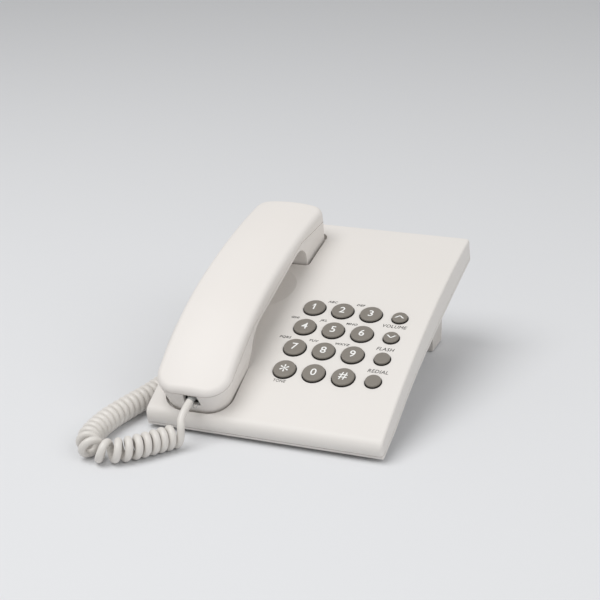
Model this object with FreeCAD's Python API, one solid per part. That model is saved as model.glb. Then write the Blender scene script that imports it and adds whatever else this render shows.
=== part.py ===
import FreeCAD, Part
import math
import os

# Sizes are in millimetres. The base is drawn level, in the slab frame: x runs to the right, v runs from
# the front edge to the rear along the top face, and n stands square to the slab. It is tilted at the end.
# The table is z = 0 in the tilted frame.

# Base housing
base_width = 150.0
base_length = 210.3
base_tilt = 18.0
front_edge_height = 11.5
top_rise = 9.0
front_depth = 10.9
front_setback = 3.0
toe_length = 29.0
belly_place = 83.0
belly_depth = 7.0
rear_depth = 16.2
toe_sag = 1.0
belly_sag = 1.13
wall = 2.4
floor_wall = 2.2
front_roll = 6.5
side_roll = 1.6
front_corner = 5.0
rear_corner = 3.0
housing_fit = 0.1
lip_wall = 1.4
lip_height = 3.0
reveal_height = 0.5
reveal_depth = 0.5

# Keypad
key_pitch_x = 18.8
key_pitch_v = 19.4
first_row_v = 106.5
key_radius = 7.0
side_key_x = 56.4
side_key_radius = 4.9
key_proud = 1.8
key_edge = 0.7
key_clearance = 0.6
flange_wall = 1.0
flange_overhang = 1.1

# Circuit board and key mat
board_top = -0.3
board_wall = 1.6
board_left = -16.0
board_side_gap = 7.0
board_front = 33.0
board_rear = 151.0
mat_wall = 1.0
dome_rise = 1.05
dome_radius = 3.2
mat_gap = 0.05
boss_radius = 3.4
board_boss_radius = 2.8

# Handset
handset_x = -45.0
handset_front = 4.5
handset_rear = 196.0
handset_half = 24.0
handset_peak_v = 92.0
handset_edge_top = 36.1
handset_crown = 3.0
handset_arch = 465.0
handset_front_arch = 205.0
handset_wall = 2.2
handset_roll = 4.5
mouth_corner = 15.0
ear_corner = 9.0
parting_waist = 16.0
neck_bottom = 26.4
mouth_rear = 46.0
mouth_rise = 24.0
ear_front = 153.5
ear_rise = 16.0
mouth_taper = 4.4
ear_taper = 1.0
seam_height = 28.7
seam_front_drop = 14.1
seam_front_end = 60.0
seam_rear_start = 147.0
seam_rear_slope = 0.27
seat_gap = 0.3
seam_groove = 0.5
seam_groove_depth = 0.5

# Cradle wells and the finger scoop between them
well_floor = -2.2
well_wall = 2.0
mouth_well_gap = 0.9
ear_well_gap = 1.5
well_end_gap = 1.4
scoop_depth = 3.0
scoop_radius = 25.0
scoop_v = 127.0

# Hook switch
hook_x = -31.0
hook_v = 162.5
hook_width = 9.0
hook_length = 5.0
hook_rest_gap = 0.086
hook_stop_gap = 0.3
hook_flange_wall = 1.0
hook_clearance = 0.15

# Modular plugs and jacks of the curly cord
plug_width = 7.65
plug_height = 6.1
plug_length = 10.5
plug_clearance = 0.12
jack_wall = 1.7
jack_depth = 12.0
recess_v = 10.0
cord_exit_n = 12.0
cord_jack_v = 100.0
cord_jack_n = -0.2

# Line jack on the rear wall
line_port_width = 9.8
line_port_height = 7.0
line_port_depth = 12.0
line_jack_wall = 1.5
line_jack_n = -7.4
latch_width = 4.0
latch_height = 1.2

# Rear slide switches
ringer_x = 30.0
dial_x = 47.0
slider_n = -7.4
slider_width = 3.2
slider_height = 3.4
slider_proud = 1.6
slider_reach = 4.4
slider_travel = 2.5
slider_clearance = 0.25
switch_width = 11.5
switch_depth = 5.5
switch_height = 6.2

# Stand under the rear
stand_half = 57.0
stand_depth = 22.3
stand_rear_inset = 0.3
stand_front_slope = 9.0
stand_wall = 2.2
pad_wall = 1.2
pad_sink = 0.5
foot_radius = 6.0
foot_x = 58.0
foot_reach = 19.5

# Fasteners
screw_radius = 1.45
screw_head_radius = 2.9
screw_head_wall = 1.7
screw_length = 8.0
screw_clearance = 0.05
pocket_clearance = 0.3
post_height = 1.8
post_radius = 4.6

# Curly cord
wire_diameter = 4.7
coil_diameter = 15.0
coil_pitch = 5.2
coil_gap = 0.5
coil_bend_extra = 0.4
coil_lift = 0.1
coil_start_turn = 0.2
coil_end_turn = 0.875

V = FreeCAD.Vector
UP = V(0, 0, 1)
tilt = math.radians(base_tilt)
big = 400.0
lift_out = 60.0


def line(a, b):
    return Part.LineSegment(a, b).toShape()


def arc(a, middle, b):
    return Part.Arc(a, middle, b).toShape()


def side_point(v, n):
    return V(0, v, n)


def side_prism(edges, left, right):
    """A solid with the given outline in the v-n plane, from x = left to x = right."""
    face = Part.Face(Part.Wire(edges))
    face.translate(V(left, 0, 0))
    return face.extrude(V(right - left, 0, 0))


def outline(corners, n):
    """A closed wire at height n through (x, v, radius) corners, each rounded by its radius."""
    starts = []
    edges = []
    count = len(corners)
    for index in range(count):
        x, v, radius = corners[index]
        here = V(x, v, n)
        back = V(corners[index - 1][0], corners[index - 1][1], n) - here
        ahead = V(corners[(index + 1) % count][0], corners[(index + 1) % count][1], n) - here
        back.normalize()
        ahead.normalize()
        half = back.getAngle(ahead) / 2
        bisector = back + ahead
        bisector.normalize()
        a = here + back * (radius / math.tan(half))
        b = here + ahead * (radius / math.tan(half))
        middle = here + bisector * (radius / math.sin(half) - radius)
        starts.append((a, middle, b))
    for index in range(count):
        a, middle, b = starts[index]
        edges.append(arc(a, middle, b))
        edges.append(line(b, starts[(index + 1) % count][0]))
    return Part.Wire(edges)


def plan_prism(corners, low, high):
    return Part.Face(outline(corners, low)).extrude(V(0, 0, high - low))


def box(x0, x1, v0, v1, n0, n1):
    return Part.makeBox(x1 - x0, v1 - v0, n1 - n0, V(x0, v0, n0))


def post(x, v, radius, low, high):
    return Part.makeCylinder(radius, high - low, V(x, v, low), UP)


def fused(shapes):
    return shapes[0].multiFuse(shapes[1:]).removeSplitter()


def edges_where(shape, test):
    return [edge for edge in shape.Edges if test(edge)]


def circle_through(a, b, c):
    """Centre and radius of the circle through three (v, n) points."""
    circle = arc(side_point(*a), side_point(*b), side_point(*c)).Curve
    return circle.Center.y, circle.Center.z, circle.Radius


def height_on(circle, v, side):
    """Height of a circle at v, on its upper side (1) or its lower side (-1)."""
    centre_v, centre_n, radius = circle
    return centre_n + side * math.sqrt(radius ** 2 - (v - centre_v) ** 2)


# Base housing outline, seen from the side

half_length = base_length / 2
top_radius = (half_length ** 2 + top_rise ** 2) / (2 * top_rise)
toe_middle = ((toe_length + belly_place) / 2, toe_sag - (front_depth + belly_depth) / 2)
belly_middle = ((belly_place + base_length) / 2, belly_sag - (belly_depth + rear_depth) / 2)
toe_arc = circle_through((toe_length, -front_depth), toe_middle, (belly_place, -belly_depth))
belly_arc = circle_through((belly_place, -belly_depth), belly_middle, (base_length, -rear_depth))


def top_height(v, raise_by=0.0):
    """Height of the arched top face at v, or of a face that far above it."""
    return top_rise - top_radius + math.sqrt((top_radius + raise_by) ** 2 - (v - half_length) ** 2)


def under_height(v):
    if v < toe_length:
        return -front_depth
    if v < belly_place:
        return height_on(toe_arc, v, 1)
    return height_on(belly_arc, v, 1)


def floor_height(v):
    return under_height(v) + floor_wall


def front_line(n, inset):
    return inset - n * front_setback / front_depth


def under_edges(front_v, lift):
    """The underside, from the front wall to the rear wall, raised by lift."""
    low = lift - front_depth
    toe = side_point(toe_length, low)
    belly = side_point(belly_place, lift - belly_depth)
    toe_high = side_point(toe_middle[0], toe_middle[1] + lift)
    belly_high = side_point(belly_middle[0], belly_middle[1] + lift)
    rear = side_point(base_length, lift - rear_depth)
    return [line(side_point(front_v, low), toe), arc(toe, toe_high, belly), arc(belly, belly_high, rear)]


def plan_corners(inset):
    half = base_width / 2 - inset
    front_radius = max(front_corner - inset, 0.6)
    rear_radius = max(rear_corner - inset, 0.6)
    return [(-half, inset, front_radius), (half, inset, front_radius),
            (half, base_length - inset, rear_radius), (-half, base_length - inset, rear_radius)]


def base_block(inset, lift):
    """The housing's outer form between its arched top and its underside, shrunk by inset."""
    corner_v = inset
    for _ in range(8):
        corner_v = front_line(top_height(corner_v, -inset), inset)
    corner = side_point(corner_v, top_height(corner_v, -inset))
    rear_top = side_point(base_length, top_height(base_length, -inset))
    rear_low = side_point(base_length, lift - rear_depth)
    front_v = front_line(lift - front_depth, inset)
    peak = side_point(half_length, top_height(half_length, -inset))
    edges = [line(corner, side_point(front_v, lift - front_depth))] + under_edges(front_v, lift)
    edges += [line(rear_low, rear_top), arc(rear_top, peak, corner)]
    half = base_width / 2 - inset
    block = side_prism(edges, -half, half)
    roll = front_roll - inset
    front_edge = edges_where(block, lambda e: abs(e.CenterOfMass.y - corner_v) < 0.01
                             and abs(e.CenterOfMass.z - corner.z) < 0.01)
    block = block.makeFillet(roll, front_edge)
    return block.common(plan_prism(plan_corners(inset), -lift_out, lift_out))


def under_block(lift):
    """Everything above the underside raised by lift."""
    front_v = -10.0
    edges = under_edges(front_v, lift)
    rear = side_point(base_length, lift - rear_depth)
    end = side_point(base_length + 20, lift - rear_depth - 1.8)
    high_end = side_point(base_length + 20, lift_out)
    high_front = side_point(front_v, lift_out)
    edges += [line(rear, end), line(end, high_end), line(high_end, high_front)]
    edges.append(line(high_front, side_point(front_v, lift - front_depth)))
    return side_prism(edges, -big / 2, big / 2)


def top_block(raise_by):
    """Everything below the arched top face raised by raise_by."""
    ends = (-6.0, base_length + 6.0)
    left = side_point(ends[0], top_height(ends[0], raise_by))
    right = side_point(ends[1], top_height(ends[1], raise_by))
    peak = side_point(half_length, top_height(half_length, raise_by))
    low_left = side_point(ends[0], -lift_out)
    low_right = side_point(ends[1], -lift_out)
    edges = [arc(left, peak, right), line(right, low_right), line(low_right, low_left), line(low_left, left)]
    return side_prism(edges, -big / 2, big / 2)


# Handset outlines

def handset_corners(front, rear, front_half, rear_half, front_radius, rear_radius):
    return [(handset_x - front_half, front, front_radius), (handset_x + front_half, front, front_radius),
            (handset_x + rear_half, rear, rear_radius), (handset_x - rear_half, rear, rear_radius)]


block_bottom = well_floor + seat_gap
foot_front = handset_front + mouth_taper - 0.4
foot_rear = handset_rear - 1.5
foot_front_half = handset_half - mouth_taper
foot_rear_half = handset_half - ear_taper


def waist_corners(inset):
    return handset_corners(handset_front + inset, handset_rear - inset, handset_half - inset,
                           handset_half - inset, mouth_corner - inset, ear_corner - inset)


def foot_corners(inset):
    return handset_corners(foot_front + inset, foot_rear - inset, foot_front_half - inset,
                           foot_rear_half - inset, mouth_corner - 2 - inset, ear_corner - 2 - inset)


front_sweep = 36.0
rear_sweep = 18.0


def crowned_bar(inset):
    """The arched and crowned top of the handset: two ring sectors that meet at its highest place."""
    crown_radius = (handset_half ** 2 + handset_crown ** 2) / (2 * handset_crown)
    half = handset_half + 3
    top = handset_edge_top + handset_crown - inset
    edge = top - crown_radius + math.sqrt(crown_radius ** 2 - half ** 2)
    low = -40.0
    v = handset_peak_v
    left = V(handset_x - half, v, edge)
    right = V(handset_x + half, v, edge)
    low_left = V(handset_x - half, v, low)
    low_right = V(handset_x + half, v, low)
    edges = [arc(left, V(handset_x, v, top), right), line(right, low_right)]
    edges += [line(low_right, low_left), line(low_left, left)]
    section = Part.Face(Part.Wire(edges))
    rear_axis = V(0, v, handset_edge_top - handset_arch)
    front_axis = V(0, v, handset_edge_top - handset_front_arch)
    rear_part = section.revolve(rear_axis, V(1, 0, 0), -rear_sweep)
    front_part = section.revolve(front_axis, V(1, 0, 0), front_sweep)
    return rear_part.fuse(front_part)


def under_neck(grow):
    """The space under the neck, between the mouth block and the ear block, grown by grow."""
    mouth_v = mouth_rear + mouth_rise
    ear_v = ear_front - ear_rise
    mouth_n = neck_bottom - mouth_rise
    ear_n = neck_bottom - ear_rise
    mouth_reach = mouth_rise + grow
    ear_reach = ear_rise + grow
    diagonal = math.sqrt(0.5)
    a = side_point(mouth_v - mouth_reach, -40)
    b = side_point(mouth_v - mouth_reach, mouth_n)
    bc = side_point(mouth_v - mouth_reach * diagonal, mouth_n + mouth_reach * diagonal)
    c = side_point(mouth_v, neck_bottom + grow)
    d = side_point(ear_v, neck_bottom + grow)
    de = side_point(ear_v + ear_reach * diagonal, ear_n + ear_reach * diagonal)
    e = side_point(ear_v + ear_reach, ear_n)
    f = side_point(ear_v + ear_reach, -40)
    edges = [line(a, b), arc(b, bc, c), line(c, d), arc(d, de, e), line(e, f), line(f, a)]
    return side_prism(edges, handset_x - 60, handset_x + 60)


def is_top_rim(edge):
    """True for the edges between the handset's crowned top and its sides."""
    across = edge.tangentAt((edge.FirstParameter + edge.LastParameter) / 2)
    bounds = edge.BoundBox
    in_a_side = abs(across.z) > 0.9 or bounds.ZMin < parting_waist - 2
    across_the_top = abs(edge.CenterOfMass.y - handset_peak_v) < 1
    return not in_a_side and not across_the_top and edge.CenterOfMass.z > parting_waist + 0.1


def handset_form(inset):
    """The handset's whole form: a crowned bar with a mouth block and an ear block, shrunk by inset."""
    lower = Part.makeLoft([outline(foot_corners(inset), block_bottom + inset),
                           outline(waist_corners(inset), parting_waist)], True, True)
    upper = plan_prism(waist_corners(inset), parting_waist, lift_out)
    form = fused([lower, upper]).common(crowned_bar(inset))
    form = form.makeFillet(handset_roll - inset, edges_where(form, is_top_rim))
    return form.cut(under_neck(inset))


def above_seam(raise_by):
    """Everything above the handset's parting line, or above a line that much higher."""
    height = seam_height + raise_by
    front_v = -10.0
    front_slope = seam_front_drop / seam_front_end
    start = side_point(front_v, height - front_slope * (seam_front_end - front_v))
    a = side_point(seam_front_end, height)
    b = side_point(seam_rear_start, height)
    end_v = handset_rear + 20.0
    end = side_point(end_v, height - seam_rear_slope * (end_v - seam_rear_start))
    edges = [line(start, a), line(a, b), line(b, end), line(end, side_point(end_v, 80.0))]
    edges += [line(side_point(end_v, 80.0), side_point(-10.0, 80.0)), line(side_point(-10.0, 80.0), start)]
    return side_prism(edges, handset_x - 60, handset_x + 60)


# Round cord stretches

def rounded_path(points):
    """Straight runs through the points, joined by tangent arcs, with the list of the arcs' radii."""
    edges = []
    radii = []
    start = points[0]
    for index in range(1, len(points) - 1):
        here = points[index]
        back = points[index - 1] - here
        ahead = points[index + 1] - here
        shorter = min(back.Length, ahead.Length)
        back.normalize()
        ahead.normalize()
        half_turn = (math.pi - back.getAngle(ahead)) / 2
        reach = 0.45 * shorter
        radius = reach / math.tan(half_turn)
        inward = back + ahead
        inward.normalize()
        a = here + back * reach
        b = here + ahead * reach
        middle = here + inward * (radius / math.cos(half_turn) - radius)
        edges.append(line(start, a))
        edges.append(arc(a, middle, b))
        radii.append(radius)
        start = b
    edges.append(line(start, points[-1]))
    return edges, radii


def swept(edges, radius):
    """A round solid along a smooth chain of edges."""
    path = Part.Wire(edges)
    start = edges[0].firstVertex().Point
    direction = edges[0].tangentAt(edges[0].FirstParameter)
    ring = Part.Wire([Part.Circle(start, direction, radius).toShape()])
    return path.makePipeShell([ring], True, False)


def tube(name, points, radius):
    edges, radii = rounded_path(points)
    solid = swept(edges, radius)
    length = sum(edge.Length for edge in edges)
    share = solid.Volume / (math.pi * radius ** 2 * length)
    print(name, "length", round(length, 1), "radii", [round(r, 1) for r in radii], "volume share", round(share, 4))
    return solid


def clipped_line(start, ahead, distance):
    """The point at a distance ahead of start, along a direction."""
    direction = V(ahead.x, ahead.y, ahead.z)
    direction.normalize()
    return start + direction * distance


# Placing

def stand_up(shape):
    """Tilts a shape from the slab frame to the table frame."""
    placed = shape.copy()
    placed.rotate(V(0, 0, 0), V(1, 0, 0), base_tilt)
    placed.translate(V(0, 0, front_edge_height))
    return placed


def table_point(x, v, n):
    y = v * math.cos(tilt) - n * math.sin(tilt)
    z = front_edge_height + v * math.sin(tilt) + n * math.cos(tilt)
    return V(x, y, z)


slab = {}
table = {}
cord = {}

# Key places: name, column, row, and radius

main_keys = [["key_1", "key_2", "key_3"], ["key_4", "key_5", "key_6"],
             ["key_7", "key_8", "key_9"], ["key_star", "key_0", "key_hash"]]
side_keys = ["key_volume_up", "key_volume_down", "key_flash", "key_redial"]
keys = []
for row in range(4):
    row_v = first_row_v - row * key_pitch_v
    for column in range(3):
        keys.append((main_keys[row][column], column * key_pitch_x, row_v, key_radius))
    keys.append((side_keys[row], side_key_x, row_v, side_key_radius))

flange_low = board_top + mat_wall + dome_rise + mat_gap

for name, x, v, radius in keys:
    cap = post(x, v, radius, flange_low, lift_out).common(top_block(key_proud))
    rim = edges_where(cap, lambda e: e.CenterOfMass.z > top_height(v) and e.Closed)
    cap = cap.makeFillet(key_edge, rim[:1])
    slab[name] = fused([cap, post(x, v, radius + flange_overhang, flange_low, flange_low + flange_wall)])

# Wells: the space that each end of the handset drops into


def waist_share(n):
    return (n - block_bottom) / (parting_waist - block_bottom)


def half_at(foot_half, n):
    return foot_half + (handset_half - foot_half) * waist_share(n)


mouth_lip_n = top_height(25.0)
ear_lip_n = top_height(175.0)
mouth_half = half_at(foot_front_half + (foot_rear_half - foot_front_half) * 0.12, mouth_lip_n) + mouth_well_gap
ear_half = half_at(foot_rear_half, ear_lip_n) + ear_well_gap
mouth_front = foot_front + (handset_front - foot_front) * waist_share(mouth_lip_n) - mouth_well_gap
ear_back = foot_rear + (handset_rear - foot_rear) * waist_share(ear_lip_n) + ear_well_gap
mouth_back = mouth_rear + well_end_gap + 0.7
ear_near = ear_front - well_end_gap


def mouth_well(grow):
    return handset_corners(mouth_front - grow, mouth_back + grow, mouth_half + grow, mouth_half + grow,
                           mouth_corner - 0.5 + grow, 1.5 + grow)


def ear_well(grow):
    return handset_corners(ear_near - grow, ear_back + grow, ear_half + grow, ear_half + grow,
                           3.0 + grow, ear_corner - 1.0 + grow)


scoop_ball = (scoop_radius ** 2 + scoop_depth ** 2) / (2 * scoop_depth)
scoop_centre = V(handset_x, scoop_v, top_height(scoop_v) - scoop_depth + scoop_ball)

# Screw places, in the slab frame

side_boss_x = base_width / 2 - 13.0
rear_boss_v = base_length - 7.4
housing_bosses = [(side_boss_x, 22.0), (0.0, 16.0), (-side_boss_x, cord_jack_v - 16.0),
                  (side_boss_x, rear_boss_v), (-45.0, rear_boss_v)]
board_right = base_width / 2 - board_side_gap
board_bosses = [(board_left + 3.7, board_front + 3.7), (board_right - 3.7, board_front + 3.7),
                (board_left + 3.7, board_rear - 3.7), (board_right - 3.7, board_rear - 3.7)]

# Upper housing

outer = base_block(0.0, floor_wall)
half_width = base_width / 2


def is_side_edge(edge):
    bounds = edge.BoundBox
    on_side = abs(abs(edge.CenterOfMass.x) - half_width) < 0.01
    return on_side and bounds.YLength > 150 and edge.CenterOfMass.z > 0


outer = outer.makeFillet(side_roll, edges_where(outer, is_side_edge))
cavity = base_block(wall, -5.0)
inside = base_block(wall / 2, -5.0)
cups = fused([plan_prism(mouth_well(well_wall), well_floor - well_wall, lift_out),
              plan_prism(ear_well(well_wall), well_floor - well_wall, lift_out)])
scoop_shell = Part.makeSphere(scoop_ball + wall, scoop_centre).common(
    box(handset_x - scoop_radius - 4, handset_x + scoop_radius + 4, scoop_v - scoop_radius - 4,
        scoop_v + scoop_radius + 4, 0, lift_out))
fillings = [cups.common(inside), scoop_shell.common(inside)]
for x, v in housing_bosses:
    fillings.append(post(x, v, boss_radius, floor_height(v) + post_height, lift_out).common(inside))
for x, v in board_bosses:
    fillings.append(post(x, v, board_boss_radius, board_top, lift_out).common(inside))
upper = fused([outer.cut(cavity)] + fillings)
cuts = [plan_prism(mouth_well(0.0), well_floor, lift_out), plan_prism(ear_well(0.0), well_floor, lift_out),
        Part.makeSphere(scoop_ball, scoop_centre)]
for name, x, v, radius in keys:
    cuts.append(post(x, v, radius + key_clearance, 2.0, lift_out))
pilot = screw_radius + screw_clearance
for x, v in housing_bosses:
    seat = floor_height(v) + post_height
    cuts.append(post(x, v, pilot, seat - 1, floor_height(v) + screw_length + 0.3))
for x, v in board_bosses:
    cuts.append(post(x, v, pilot, board_top - 1, board_top + 4.6))
hook_hole_x = hook_width / 2 + hook_clearance
hook_hole_v = hook_length / 2 + hook_clearance
cuts.append(box(hook_x - hook_hole_x, hook_x + hook_hole_x, hook_v - hook_hole_v, hook_v + hook_hole_v,
                well_floor - well_wall - 1, well_floor + 1))

line_half = line_port_width / 2 + line_jack_wall
line_low = line_jack_n - line_port_height / 2 - line_jack_wall
line_high = line_jack_n + line_port_height / 2 + line_jack_wall
cuts.append(box(-line_half - housing_fit, line_half + housing_fit, base_length - 6, base_length + 5,
                line_low - housing_fit, line_high + housing_fit))
cord_jack_half = plug_width / 2 + plug_clearance + jack_wall
cord_jack_rise = plug_height / 2 + plug_clearance + jack_wall
cuts.append(box(-half_width - 5, -half_width + 6, cord_jack_v - cord_jack_half - housing_fit,
                cord_jack_v + cord_jack_half + housing_fit, cord_jack_n - cord_jack_rise - housing_fit,
                cord_jack_n + cord_jack_rise + housing_fit))
slot_half = slider_width / 2 + slider_travel + slider_clearance
slot_rise = slider_height / 2 + slider_clearance
for x in (ringer_x, dial_x):
    cuts.append(box(x - slot_half, x + slot_half, base_length - 6, base_length + 5,
                    slider_n - slot_rise, slider_n + slot_rise))
reveal = under_block(floor_wall).cut(under_block(floor_wall + reveal_height))
reveal = reveal.cut(base_block(reveal_depth, floor_wall - reveal_depth))
slab["upper_housing"] = upper.cut(fused(cuts)).cut(reveal)

# Lower housing: the floor, a lip inside the walls, screw posts and sound slots

sounder_x = 38.0
sounder_v = base_length - 40.3
slot_count = 5
slot_pitch = 4.4
slot_half_length = 8.0
floor = base_block(0.0, 0.0).cut(under_block(floor_wall))
lip_inset = wall + housing_fit
lip = plan_prism(plan_corners(lip_inset), -lift_out, lift_out).cut(
    plan_prism(plan_corners(lip_inset + lip_wall), -lift_out, lift_out))
lip = lip.common(under_block(floor_wall / 2)).cut(under_block(floor_wall + lip_height))
lip = lip.common(base_block(lip_inset, 0.0))
parts = [floor, lip]
for x, v in housing_bosses:
    parts.append(post(x, v, post_radius, under_height(v) + 0.6, floor_height(v) + post_height))
lower = fused(parts)
lower = lower.common(base_block(0.0, 0.0))
cuts = []
for x, v in housing_bosses:
    seat = floor_height(v)
    cuts.append(post(x, v, screw_head_radius + pocket_clearance, seat - 12, seat))
    cuts.append(post(x, v, screw_radius + 0.25, seat - 1, seat + 6))
for index in range(slot_count):
    slot_v = sounder_v + (index - (slot_count - 1) / 2) * slot_pitch
    cuts.append(box(sounder_x - slot_half_length, sounder_x + slot_half_length, slot_v - 0.9, slot_v + 0.9,
                    -lift_out, -4.0))
cuts.append(box(-half_width - 1, -half_width + 5, cord_jack_v - cord_jack_half - housing_fit,
                cord_jack_v + cord_jack_half + housing_fit, cord_jack_n - cord_jack_rise - housing_fit, 6.0))
cuts.append(box(-line_half - housing_fit, line_half + housing_fit, base_length - 6, base_length + 5,
                line_low - housing_fit, line_high))
for x in (ringer_x, dial_x):
    cuts.append(box(x - slot_half, x + slot_half, base_length - 6, base_length + 5,
                    slider_n - slot_rise, slider_n + slot_rise))
slab["lower_housing"] = lower.cut(fused(cuts))

# Screws of the housing, driven from below


def screw(x, v, seat, length, head_radius, head_wall):
    head = post(x, v, head_radius, seat - head_wall, seat)
    return fused([head, post(x, v, screw_radius, seat, seat + length)])


housing_screws = []
for x, v in housing_bosses:
    housing_screws.append(screw(x, v, floor_height(v), screw_length, screw_head_radius, screw_head_wall))
slab["housing_screws"] = Part.makeCompound(housing_screws)
board_screws = []
for x, v in board_bosses:
    board_screws.append(screw(x, v, board_top - board_wall, 5.6, 2.5, 1.3))
slab["board_screws"] = Part.makeCompound(board_screws)

# Circuit board, key mat and the parts on the board

board = box(board_left, board_right, board_front, board_rear, board_top - board_wall, board_top)
for x, v in board_bosses:
    board = board.cut(post(x, v, screw_radius + 0.15, board_top - 3, board_top + 1))
slab["main_board"] = board
mat_parts = [box(-7.0, side_key_x + 6.0, first_row_v - 3 * key_pitch_v - 6, first_row_v + 6,
                 board_top, board_top + mat_wall)]
for name, x, v, radius in keys:
    mat_parts.append(Part.makeCone(dome_radius + 0.8, dome_radius - 0.8, dome_rise, V(x, v, board_top + mat_wall)))
slab["key_mat"] = fused(mat_parts)
chip_v = 126.0
slab["main_chip"] = box(2.0, 20.0, chip_v, chip_v + 7.6, board_top, board_top + 3.3)
capacitors = []
for index in range(3):
    capacitors.append(post(31.0 + index * 9.0, 129.5, 3.1, board_top, board_top + 4.8))
slab["capacitors"] = Part.makeCompound(capacitors)
slab["line_transformer"] = fused([box(24.0, 38.0, 137.5, 148.5, board_top, board_top + 4.8),
                                  box(22.0, 40.0, 140.0, 146.0, board_top, board_top + 3.0)])

# Line jack on the rear wall and its port

jack_front = base_length - line_port_depth - line_jack_wall * 2
line_jack = box(-line_half, line_half, jack_front, base_length, line_low, line_high)
port = box(-line_port_width / 2, line_port_width / 2, base_length - line_port_depth, base_length + 1,
           line_jack_n - line_port_height / 2, line_jack_n + line_port_height / 2)
latch = box(-latch_width / 2, latch_width / 2, base_length - line_port_depth, base_length + 1,
            line_jack_n - line_port_height / 2 - latch_height, line_jack_n)
slab["line_jack"] = line_jack.cut(fused([port, latch]))

# Cord jack in the left wall, and its plug

jack_out = -half_width
cord_jack = box(jack_out, jack_out + jack_depth, cord_jack_v - cord_jack_half, cord_jack_v + cord_jack_half,
                cord_jack_n - cord_jack_rise, cord_jack_n + cord_jack_rise)
cord_socket = box(jack_out - 1, jack_out + jack_depth - jack_wall,
                  cord_jack_v - plug_width / 2 - plug_clearance, cord_jack_v + plug_width / 2 + plug_clearance,
                  cord_jack_n - plug_height / 2 - plug_clearance, cord_jack_n + plug_height / 2 + plug_clearance)
slab["base_cord_jack"] = cord_jack.cut(cord_socket)


def modular_plug(tip, inward, up):
    """A four-way modular plug. Its rear end centre is at tip and it points along inward."""
    side = inward.cross(up)
    body = Part.makeBox(plug_width, plug_length, plug_height, V(-plug_width / 2, 0, -plug_height / 2))
    groove = Part.makeBox(plug_width - 2.4, 2.6, 1.0, V(1.2 - plug_width / 2, plug_length - 4.6, plug_height / 2 - 1.0))
    slots = []
    for index in range(4):
        slots.append(Part.makeBox(0.5, 3.0, 1.0, V(-2.15 + 1.27 * index, plug_length - 3.0, -plug_height / 2)))
    plug = body.cut(fused([groove] + slots))
    turn = FreeCAD.Matrix(side.x, inward.x, up.x, tip.x, side.y, inward.y, up.y, tip.y,
                          side.z, inward.z, up.z, tip.z, 0, 0, 0, 1)
    return plug.transformGeometry(turn)


plug_out = 1.6
base_tip = V(jack_out - plug_out, cord_jack_v, cord_jack_n)
base_plug = modular_plug(V(0, 0, 0), V(0, 1, 0), V(0, 0, 1))
base_plug.rotate(V(0, 0, 0), UP, -90)
base_plug.translate(base_tip)
cord_slab = {"cord_base_plug": base_plug}

# Rear slide switches and their knobs


def slide_knob(x):
    stem = box(x - slider_width / 2, x + slider_width / 2, base_length - slider_reach, base_length + slider_proud,
               slider_n - slider_height / 2, slider_n + slider_height / 2)
    tip = edges_where(stem, lambda e: e.CenterOfMass.y > base_length + slider_proud - 0.01
                      and e.BoundBox.ZLength > slider_height - 0.1)
    return stem.makeFillet(0.5, tip)


def switch_body(x):
    face = base_length - wall - 0.2
    body = box(x - switch_width / 2, x + switch_width / 2, face - switch_depth, face,
               slider_n - switch_height / 2, slider_n + switch_height / 2)
    groove = box(x - slider_width / 2 - slider_travel - slider_clearance,
                 x + slider_width / 2 + slider_travel + slider_clearance,
                 base_length - slider_reach - 0.2, face + 1, slider_n - slot_rise, slider_n + slot_rise)
    return body.cut(groove)


slab["ringer_knob"] = slide_knob(ringer_x)
slab["dial_mode_knob"] = slide_knob(dial_x)
slab["ringer_switch"] = switch_body(ringer_x)
slab["dial_switch"] = switch_body(dial_x)

# Hook button, its spring and its switch

hook_top = block_bottom - 0.15
hook_floor = floor_height(hook_v - 5.0)
strip_low = hook_floor + 0.05
strip_wall = 0.25
flange_top = strip_low + strip_wall + hook_rest_gap + hook_flange_wall
print("hook travel", round(well_floor - well_wall - hook_stop_gap - flange_top, 3))
hook_body = box(hook_x - hook_width / 2, hook_x + hook_width / 2, hook_v - hook_length / 2,
                hook_v + hook_length / 2, flange_top - hook_flange_wall, hook_top)
top_edges = edges_where(hook_body, lambda e: e.CenterOfMass.z > hook_top - 0.01)
hook_body = hook_body.makeFillet(0.4, top_edges)
hook_flange = box(hook_x - hook_width / 2 - 1.2, hook_x + hook_width / 2 + 1.2, hook_v - hook_length / 2 - 1.0,
                  hook_v + hook_length / 2 + 1.0, flange_top - hook_flange_wall, flange_top)
slab["hook_button"] = fused([hook_body, hook_flange])
slab["hook_spring"] = box(hook_x - 5.0, hook_x + 5.0, hook_v - 2.2, hook_v + 2.2, strip_low, strip_low + strip_wall)
switch_left = hook_x + hook_width / 2 + 1.2 + 0.3
slab["hook_switch"] = fused([box(switch_left, switch_left + 10.0, hook_v - 3.2, hook_v + 3.2,
                                 hook_floor + 0.05, hook_floor + 4.4)])

# Sounder behind the slots, and the weight on the floor

sounder_seat = floor_height(sounder_v - 12.0) + 0.1
slab["ringer_sounder"] = fused([post(sounder_x, sounder_v, 12.0, sounder_seat, sounder_seat + 4.5),
                                post(sounder_x, sounder_v, 4.0, sounder_seat + 4.5, sounder_seat + 6.0)])
slab["base_weight"] = box(12.0, 52.0, 8.5, 27.0, floor_height(15.0) + 0.05, floor_height(15.0) + 3.05)

# Hanger tab for the handset, in a pocket at the front of the ear well

slab["handset_hanger"] = box(handset_x - 4.0, handset_x + 4.0, ear_near + 0.05, ear_near + 0.65,
                             well_floor + 0.05, top_height(ear_near) - 0.8)

# Handset shells

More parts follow.
